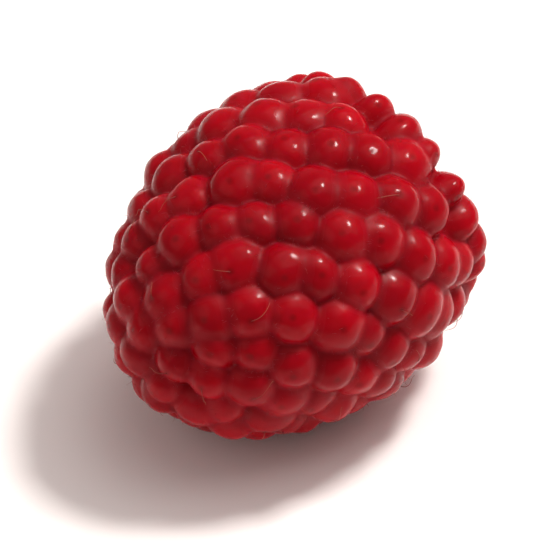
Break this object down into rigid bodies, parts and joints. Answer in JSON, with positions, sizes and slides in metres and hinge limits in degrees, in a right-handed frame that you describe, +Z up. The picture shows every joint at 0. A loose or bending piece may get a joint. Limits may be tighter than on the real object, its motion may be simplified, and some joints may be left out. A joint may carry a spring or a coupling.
{
  "type": "raspberry",
  "caption": "Ripe picked raspberry lying on its side: a blunt cone of small round drupelets grown together round an open hollow where the core pulled out.",
  "frame": {"origin": "on the surface the fruit rests on, under the middle of its outer box", "axes": "+Z up from that surface, +Y along the fruit towards its hollow mouth, so the tip points along -Y and dips 9 degrees, +X across it"},
  "size_m": [0.0206, 0.0224, 0.0188],
  "materials": {
    "berry": "moist, glossy red skin with a faint bloom, matte inside the hollow"
  },
  "bodies": {
    "root": {"berry": "berry"}
  },
  "joints": []
}
